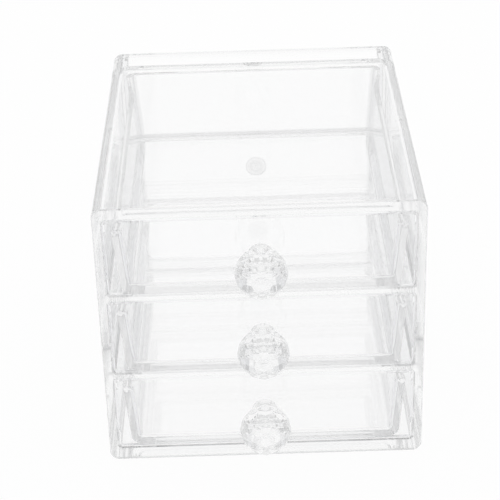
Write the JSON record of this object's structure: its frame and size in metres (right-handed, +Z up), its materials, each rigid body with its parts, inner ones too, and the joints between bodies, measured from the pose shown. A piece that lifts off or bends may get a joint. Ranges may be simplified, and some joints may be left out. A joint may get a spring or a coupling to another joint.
{
  "type": "makeup storage box with drawers",
  "caption": "Clear moulded tabletop storage box: a cabinet shell with shelves, sliding drawers and a crystal-cut knob on each drawer.",
  "frame": {"origin": "middle of the flat base, on the surface that the box stands on", "axes": "+Z up, the drawers open towards -Y, +X to the right of someone facing the drawers' backs along +Y"},
  "size_m": [0.1, 0.1351, 0.0915],
  "materials": {
    "clear_shell": "clear colourless moulded polystyrene, polished",
    "clear_drawer": "clear colourless moulded polystyrene, polished",
    "crystal_knob": "clear cut-crystal acrylic, polished facets"
  },
  "bodies": {
    "cabinet": {"cabinet": "clear_shell"},
    "drawer_bottom": {"drawer_bottom": "clear_drawer", "knob_bottom": "crystal_knob"},
    "drawer_middle": {"drawer_middle": "clear_drawer", "knob_middle": "crystal_knob"},
    "drawer_top": {"drawer_top": "clear_drawer", "knob_top": "crystal_knob"}
  },
  "joints": [
    {"name": "drawer_bottom_slide", "type": "slide", "parent": "cabinet", "child": "drawer_bottom", "axis": [0, -1, 0], "range_m": [0, 0.075]},
    {"name": "drawer_middle_slide", "type": "slide", "parent": "cabinet", "child": "drawer_middle", "axis": [0, -1, 0], "range_m": [0, 0.075]},
    {"name": "drawer_top_slide", "type": "slide", "parent": "cabinet", "child": "drawer_top", "axis": [0, -1, 0], "range_m": [0, 0.075]}
  ]
}
